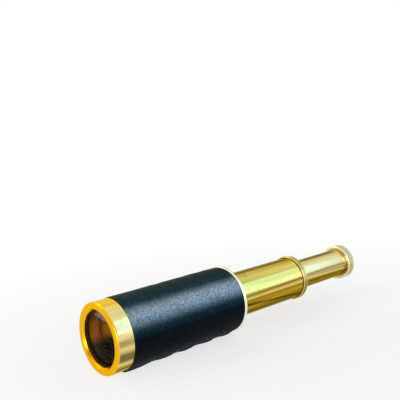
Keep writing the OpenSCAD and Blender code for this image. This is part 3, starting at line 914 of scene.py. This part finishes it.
# %% Four stitches of two strands
# Half the length of a stitch, the radius of a strand, and the radius and half turns of
# the helix in which the strands wind round each other.
HALF_STITCH, STRAND_R, LAY_R, LAY_TURNS, SLANT = 1.62, 0.155, 0.12, 5.2, 0.18


def stitch(k, strand):
    """One strand of a stitch: it dives at both ends and winds in a helix round the stitch's middle line."""
    s = np.linspace(-1, 1, 46)
    dive = np.clip((np.abs(s) - 0.8) / 0.2, 0, 1)
    lift = 0.12 - 0.55 * dive ** 1.5 + 0.05 * np.cos(s * 3)
    turn = LAY_TURNS * np.pi * s + strand * np.pi + k
    x = STITCH_X[k] + LAY_R * np.cos(turn) + SLANT * s * (-1) ** k
    path = seam_point(x, HALF_STITCH * s * (1 - 0.12 * dive), lift + LAY_R * np.sin(turn))
    return tube_along(path, STRAND_R)


offset, stack = 0, []
for k in range(len(STITCH_X)):
    for strand in (0, 1):
        p, q, f = stitch(k, strand)
        stack.append((p, q + offset, f + offset))
        offset += len(p)
stitches = mesh_object("seam_stitches", *[np.vstack(rows) for rows in zip(*stack)])
print("stitches", offset, "points")

# %% [markdown]
# Waxed thread is grey with fine fibres along it. At this size one fine noise does for
# the fibres, in the colour, in the gloss and in the bump.

# %% Waxed thread
thread, tree, shader = new_material("waxed_thread")
fibres = noise(tree, here(tree), 5200.0, 4.0, 0.7)
feed(tree, shader.inputs, {
    "Base Color": blend(tree, spread(tree, fibres, 0.3, 0.7), (0.12, 0.13, 0.14, 1), (0.34, 0.35, 0.36, 1)),
    "Roughness": spread(tree, fibres, 0.2, 0.8, 0.32, 0.55), "Normal": bumped(tree, fibres, 0.6, 0.00006)})
wear(stitches, thread)
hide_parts("leather_stitches")
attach(stitches, "barrel")
print(thread.name, "on", stitches.name)

# %% [markdown]
# ## The barrel's collar
#
# Behind the leather a narrow, nearly cream-coloured ring closes the barrel, and the
# first draw comes out of it. Its sleeve, which doesn't show, holds a felt bush. The
# guide ring of the draw has the same section, so one function gives the corners of
# both.

# %% Collar
# The metal keeps this far from the draw, then the felt's clearance and thickness, and
# the width of the lip that holds the felt.
LIP_GAP, RUN_GAP, FELT_T, SMALL_LIP = 0.35, 0.06, 1.1, 0.6


def guide_corners(x0, x_bead, x_end, r_bead, edge, r_tube_in, r_draw, groove=()):
    """Corners of a bead with a sleeve before it that holds a felt bush."""
    hole, seat = r_draw + LIP_GAP, r_draw + RUN_GAP + FELT_T + GAP
    sleeve = r_tube_in - GAP
    outside = [(x0, hole, 0.1), (x0, sleeve, 0.1), (x_bead, sleeve, 0.05), (x_bead, r_bead, edge)]
    inside = [(x_end, r_bead, edge), (x_end, hole, 0.25), (x_bead - GAP, hole, 0.04),
              (x_bead - GAP, seat, 0.04), (x0 + SMALL_LIP, seat, 0.04), (x0 + SMALL_LIP, hole, 0.04)]
    return outside + list(groove) + inside


section = guide_corners(SLEEVE_X, COLLAR_X, BARREL_END, COLLAR_R, 0.35, BARREL_IN, DRAW_1_R)
collar = turned("collar", section)
wear(collar, cream_brass)
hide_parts("barrel_collar")
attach(collar, "barrel")

# %% [markdown]
# ## The draws
#
# The two draws are thin tubes, long and plain. What makes them look like metal is
# their finish, the dark and bright bands painted on them as reflections and highlights,
# and a very slight waviness, which bends the reflections as on real thin tube. Extra
# stations along the profile give the waves something to move.

# %% The tubes of both draws
WAVE_H, ROUND = 0.0035, 6.28


def tube_wave(seed):
    """A few long waves: each is a cosine of the angle times a slow cosine of x, a few microns high."""
    rng = np.random.default_rng(seed)
    terms = [(k, rng.uniform(0, ROUND), rng.uniform(0.02, 0.12), rng.uniform(0, ROUND), rng.uniform(0.4, 1))
             for k in (2, 3, 5, 7, 9)]

    def swell(x, t, r):
        waves_here = [w * np.cos(k * t + p) * (0.6 + 0.4 * np.cos(f * x + q)) for k, p, f, q, w in terms]
        return WAVE_H * sum(waves_here)
    return swell


def drawn_tube(name, node, body, x0, x1, r_in, r_out, metal, marks, seed):
    """A tube with broken edges, its finish, and the CAD node that it stands for."""
    between = [(x, r_out, 0) for x in np.linspace(x0, x1, 40)[1:-1]]
    corners = [(x0, r_in, 0.04), (x0, r_out, 0.06)] + between + [(x1, r_out, 0.06), (x1, r_in, 0.04)]
    tube = turned(name, corners, sides=320, steps=3, swell=tube_wave(seed), marks=marks)
    wear(tube, metal)
    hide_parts(node)
    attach(tube, body)


# Bands on each draw: the dark ones are painted reflections, the bright ones painted highlights.
first_draw_painted_bands = streaks(
    [(9, 9, 6.0, 0.62), (-5, -5, 1.7, 0.5), (-13, -36, 4.4, 1.0), (-43, -47, 8, 1.0), (98, 98, 9, 0.85)],
    [(0, 0, 1.7, 1.0), (-27, -14, 3.0, 0.35)], (BARREL_END, DRAW_1_X1), 5)
second_draw_painted_bands = streaks(
    [(9, 9, 7.5, 0.68), (-20, -26, 5, 0.7), (-47, -44, 10, 1.0), (97, 97, 8, 0.6)],
    [(-5, -12, 3.5, 1.0)], (GUIDE_END, DRAW_2_X1), 9)
drawn_tube("first_draw", "draw_1_tube", "draw_1", DRAW_1_X0, DRAW_1_X1, DRAW_1_IN, DRAW_1_R,
           pale, first_draw_painted_bands, 10)
drawn_tube("second_draw", "draw_2_tube", "draw_2", DRAW_2_X0, DRAW_2_X1, DRAW_2_IN, DRAW_2_R,
           fair, second_draw_painted_bands, 11)

# %% [markdown]
# ## The guide ring
#
# The first draw ends in a bead with a groove round its middle, out of which the second
# draw comes. The groove and the flank where the bead meets its tube are painted darker,
# a painted shade, and the ring's own brass is browner than the draws.

# %% Guide ring at the end of the first draw
MID, GROOVE = (GUIDE_X + GUIDE_END) / 2, 0.35
groove = [(MID - GROOVE, GUIDE_R, 0.08), (MID, GUIDE_R - GROOVE, 0.1), (MID + GROOVE, GUIDE_R, 0.08)]


def ring_marks(x, y, z):
    """Painted shade in the groove and on the front flank, where the ring meets its tube."""
    flank = np.clip((GUIDE_X + 0.22 - x) / 0.15, 0, 1) * (np.hypot(y, z) < GUIDE_R - 0.25)
    dark = np.maximum(np.exp(-((x - MID) / 0.3) ** 2), flank)
    return {"streak": dark, "shine": np.zeros_like(x), "low": painted_underside_shade(y, z)}


section = guide_corners(GUIDE_SLEEVE, GUIDE_X, GUIDE_END, GUIDE_R, 0.6, DRAW_1_IN, DRAW_2_R, groove)
guide = turned("guide_ring", section, sides=320, marks=ring_marks)
wear(guide, ring_brass)
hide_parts("draw_1_guide_ring")
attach(guide, "draw_1")

# %% [markdown]
# ## The eyepiece cap
#
# The cap flares to a plain bead, then comes a groove and a knurled rim that fingers
# can turn. A knurl is a radius that goes up and down with the angle, and it fades out
# towards the rounded rear edge, where the knurling wheel leaves the work.

# %% Cap with its knurl
KNURLS, KNURL_H = 44, 0.34


def knurl(x, t, r):
    """Rounded ribs, only on the outer wall of the rim.

    The radius drops by the knurl's height times the fourth power of a sine of the angle.
    """
    along = np.clip((x - RIM_X - 0.1) / 0.35, 0, 1) * np.clip((EYE_END - 0.12 - x) / 0.7, 0, 1)
    outer = np.clip((r - RIM_R + 0.7) / 0.35, 0, 1)
    return -KNURL_H * along * outer * np.sin(0.5 * KNURLS * t) ** 4


def cap_marks(x, y, z):
    """Painted shade between the ribs of the rim and in the corner beside the tube."""
    r = np.hypot(y, z)
    between = np.clip(-knurl(x, np.arctan2(z, y), r) / 0.3, 0, 1)
    corner = np.clip((CAP_X + 0.3 - x) / 0.2, 0, 1) * np.clip((DRAW_2_R + 0.75 - r) / 0.3, 0, 1)
    dark = np.maximum(0.75 * between, corner)
    return {"streak": dark, "shine": np.zeros_like(x), "low": painted_underside_shade(y, z)}


rim_stations = [(x, RIM_R, 0) for x in np.linspace(RIM_X + 0.3, EYE_END - 1.1, 8)]
bead = [(CAP_SLEEVE, EYE_R + GAP, 0.08), (CAP_SLEEVE, DRAW_2_IN - GAP, 0.08), (CAP_X, DRAW_2_IN - GAP, 0.04),
        (CAP_X, CAP_R, 0.5), (CAP_X + 1.1, CAP_R, 0.5), (CAP_X + 1.3, NECK_R, 0.2),
        (RIM_X - 0.2, NECK_R, 0.2), (RIM_X, RIM_R, 0.12)]
eye_cup = [(EYE_END, RIM_R, 1.0), (EYE_END, RIM_R - 1.6, 0.3), (EYE_END - 1.5, EYE_HOLE, 0.15),
           (EYE_SEAT, EYE_HOLE, 0.05), (EYE_SEAT, EYE_R + GAP, 0.05)]
cap = turned("eyepiece_cap_turned", bead + rim_stations + eye_cup, sides=KNURLS * 10, swell=knurl,
             marks=cap_marks)
wear(cap, rim_brass)
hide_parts("eyepiece_cap")
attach(cap, "draw_2")

# %% [markdown]
# ## The pieces inside
#
# The rings, cells and lenses inside are plain turned pieces, and their CAD solids
# already have the right shape. They only get their finishes.

# %% Finishes of the CAD pieces
FINISHES = {
    black: ["draw_1_glare_stop", "erector_spacer", "erector_retaining_ring", "field_stop",
            "eye_lens_retaining_ring"],
    cell_brown: ["objective_cell"],
    inner_brass: ["barrel_tube", "draw_1_stop_ring", "draw_2_stop_ring", "erector_cell", "field_lens_cell"],
    felt: ["barrel_felt_bush", "draw_1_felt_bush"],
    front_glass: ["objective_crown_lens"],
    clear_glass: ["erector_front_lens", "erector_rear_lens", "field_lens", "eye_lens"],
    cemented: ["objective_flint_lens"],
}
for material, names in FINISHES.items():
    for name in names:
        wear(nodes[name], material)
print({m.name: len(n) for m, n in FINISHES.items()})

# %% [markdown]
# ## Table
#
# The spyglass lies on a pale table, which is a flat disc: rings that grow evenly in
# ratio round one point in the middle. Close to the spyglass the table takes light and
# shadow like paper. Farther off it turns into plain white, for the camera and in what
# metal and glass mirror, while the rays that light the spyglass find paper everywhere.

# %% Pale table
MIDDLE = 75.0
FLOOR_Z = -COLLAR_R * MM
RINGS, SPOKES = 60, 96
radius = np.concatenate([[0.02], np.geomspace(0.04, 6.0, RINGS - 1)])[:, None] / MM
a = np.arange(SPOKES) * 2 * np.pi / SPOKES
flat = np.full((RINGS, SPOKES), FLOOR_Z / MM)
grid = np.stack([MIDDLE + radius * np.cos(a), radius * np.sin(a), flat], -1).reshape(-1, 3)
middle = np.array([[MIDDLE, 0.0, FLOOR_Z / MM]])
spoke = np.arange(SPOKES)
fan = np.stack([np.full(SPOKES, len(grid)), spoke, (spoke + 1) % SPOKES], -1)
table = mesh_object("table_top", np.vstack([grid, middle]), woven(RINGS, SPOKES, False), fan)
table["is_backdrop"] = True

paper, tree, shader = new_material("table_pale")
mottle = noise(tree, here(tree), 30.0, 3.0)
feed(tree, shader.inputs, {
    "Base Color": blend(tree, mottle, (0.86, 0.86, 0.85, 1), (0.9, 0.9, 0.89, 1)), "Roughness": 0.75,
    "Specular IOR Level": 0.2})
glow = put(tree, "Emission", {"Color": (1, 1, 1, 1)})
under_it = (MIDDLE * MM, 0.0, FLOOR_Z)
far = put(tree, "VectorMath", {0: here(tree), 1: under_it}, operation="DISTANCE", out="Value")
show_instead(tree, times(tree, seen_rays(tree), spread(tree, far, 0.04, 0.2, 0.7, 1.0)), shader, glow)
wear(table, paper)
print("table at", round(FLOOR_Z, 5))

# %% [markdown]
# ## Surroundings
#
# Brass shows what it mirrors, so the surroundings matter more than the lamps. Low
# down the room is white all round. Above that it differs by direction, as a real room
# does: each strip of it is what one piece mirrors, gold and pale bands for the bezel
# and the draws, and blue light for the leather. Seen from the spyglass the strips stand
# side by side, and along each edge one goes softly over into the next. Rays that only
# light the scene see an even, slightly warm grey instead.

# %% World
world = bpy.data.worlds.new("studio")
bpy.context.scene.world = world
world.use_nodes = True
tree = world.node_tree
tree.nodes.clear()
aim = split(tree, put(tree, "TexCoord", out="Generated"))
WHITE = (1, 1, 1)
PALE, BLUISH = (0.9, 0.95, 0.95), (0.95, 1.0, 1.0)


def strip(*stops):
    """Part of the room from the floor up: white low down, then the colours given with their heights."""
    rows = [(0.0, WHITE), (0.205, WHITE)] + list(stops)
    return colours(tree, aim["Z"], [(at, colour + (1,)) for at, colour in rows])


def beside(low, high, first, second, axis="X"):
    """One strip beside another, going over between two values of the direction."""
    return blend(tree, spread(tree, aim[axis], low, high), first, second)


far_side = strip((0.24, (0.14, 0.14, 0.10)), (0.45, (0.18, 0.18, 0.14)), (0.57, (0.6, 0.6, 0.55)),
                 (0.68, (0.85, 0.86, 0.8)), (1.0, (0.9, 0.92, 0.9)))
gold_side = strip((0.24, (1.0, 0.92, 0.10)), (0.7, (1.0, 0.88, 0.18)), (0.82, (1.0, 0.93, 0.55)), (1.0, PALE))
for_bezel = strip((0.28, BLUISH), (0.36, (0.56, 0.30, 0.36)), (0.6, (0.56, 0.32, 0.36)), (0.72, BLUISH),
                  (1.0, (0.88, 1.0, 1.0)))
for_leather = strip((0.24, (0.15, 0.45, 0.6)), (0.35, (0.25, 0.75, 0.9)), (0.72, (0.3, 0.85, 1.0)),
                    (0.78, (0.2, 0.5, 0.6)), (1.0, (0.05, 0.10, 0.14)))
for_draws = strip((0.25, (0.78, 0.78, 0.8)), (0.36, (0.62, 0.28, 0.28)), (0.5, (0.64, 0.32, 0.32)),
                  (0.64, (0.95, 0.98, 1.0)), (1.0, (0.85, 0.9, 0.95)))
for_cap = strip((0.66, (0.96, 0.94, 1.0)), (1.0, PALE))
ahead = beside(0.53, 0.57, for_bezel, for_leather)
ahead = beside(0.62, 0.66, ahead, for_draws)
ahead = beside(0.70, 0.75, ahead, for_cap)
room = beside(-0.1, 0.35, ahead, beside(0.5, 0.6, gold_side, far_side), "Y")
backdrop = put(tree, "Background", {0: room, 1: 1.0})
ambient = put(tree, "Background", {0: (1.0, 0.98, 0.94, 1), 1: 0.5})
both = put(tree, "MixShader", {0: seen_rays(tree), 1: ambient, 2: backdrop})
tree.links.new(both, tree.nodes.new("ShaderNodeOutputWorld").inputs["Surface"])
print("world", world.name)

# %% [markdown]
# ## Lamps
#
# Three soft lamps light the scene. One is bluish, like a window, and makes the broad
# gloss along the leather and the bright band on the brass. The others are warm and
# stand behind and in front. Area lamps are used because small ones would leave hard
# points of light on the brass.


# %% Soft lamps
def soft_lamp(name, toward, away, size, shine, colour, tall=(0, 0, 1)):
    """A rectangular lamp seen from the spyglass in a direction, away metres off.

    tall is roughly the direction of its second side. shine is its brightness, so that
    its power is pi times its area times its shine.
    """
    data = bpy.data.lights.new(name, "AREA")
    data.shape, data.size, data.size_y = "RECTANGLE", size[0], size[1]
    data.energy, data.color = math.pi * size[0] * size[1] * shine, colour
    lamp = bpy.data.objects.new(name, data)
    bpy.context.scene.collection.objects.link(lamp)
    back = np.array(toward, float) / np.linalg.norm(toward)
    side = np.cross(tall, back)
    side /= np.linalg.norm(side)
    turn = Matrix(np.column_stack([side, np.cross(back, side), back]).tolist()).to_4x4()
    at = np.array([MIDDLE * MM, 0, 0]) + away * back
    lamp.matrix_world = Matrix.Translation(at.tolist()) @ turn


soft_lamp("window", (0.58, -0.61, 0.45), 0.7, (0.36, 0.50), 2.5, (0.22, 0.55, 1.0), (0, 0.64, 0.77))
soft_lamp("back_light", (-0.3, 0.62, 0.72), 0.75, (0.4, 0.3), 3.0, (1.0, 0.92, 0.80))
soft_lamp("front_fill", (-0.78, -0.58, 0.24), 0.7, (0.45, 0.4), 2.6, (1.0, 0.90, 0.75))
print("lamps", len(bpy.data.lights))

# %% [markdown]
# ## Camera
#
# The camera stands where the photograph was taken from: in front of the objective,
# to one side and a little above. Its place and turn were worked out from the ellipses
# of the rings, with a picture of 400 by 400 pixels and a sensor 36 mm wide.

# %% Camera
FOCAL_PIXELS, PIXELS, SENSOR = 623.45, 400, 36.0
CAMERA_AT = (-0.1174, -0.2088, 0.0801)
YAW, PITCH, ROLL = 0.69465, -0.12109, 0.07885
forward = np.array([math.cos(PITCH) * math.sin(YAW), math.cos(PITCH) * math.cos(YAW), math.sin(PITCH)])
level = np.array([math.cos(YAW), -math.sin(YAW), 0.0])
down = np.cross(forward, level)
right = math.cos(ROLL) * level + math.sin(ROLL) * down
below = -math.sin(ROLL) * level + math.cos(ROLL) * down
aimed = Matrix(np.column_stack([right, -below, -forward]).tolist()).to_4x4()
camera = bpy.data.objects.new("camera", bpy.data.cameras.new("camera"))
bpy.context.scene.collection.objects.link(camera)
camera.matrix_world = Matrix.Translation(CAMERA_AT) @ aimed
camera.data.sensor_width = SENSOR
camera.data.lens = FOCAL_PIXELS / PIXELS * SENSOR
camera.data.clip_start = 0.005
bpy.context.scene.camera = camera
bpy.context.scene.view_settings.view_transform = "Standard"
print("lens %.2f mm" % camera.data.lens)

# %% [markdown]
# ## Last lines
#
# The boxes of the CAD part and of the visual model are printed, one after the other.
# The visual model has to stay inside the CAD part's box.

# %% Sizes and finish
visual_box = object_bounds()
for label, box in (("cad box", cad_box), ("visual box", visual_box)):
    print(label, [[round(c / MM, 2) for c in v] for v in box])
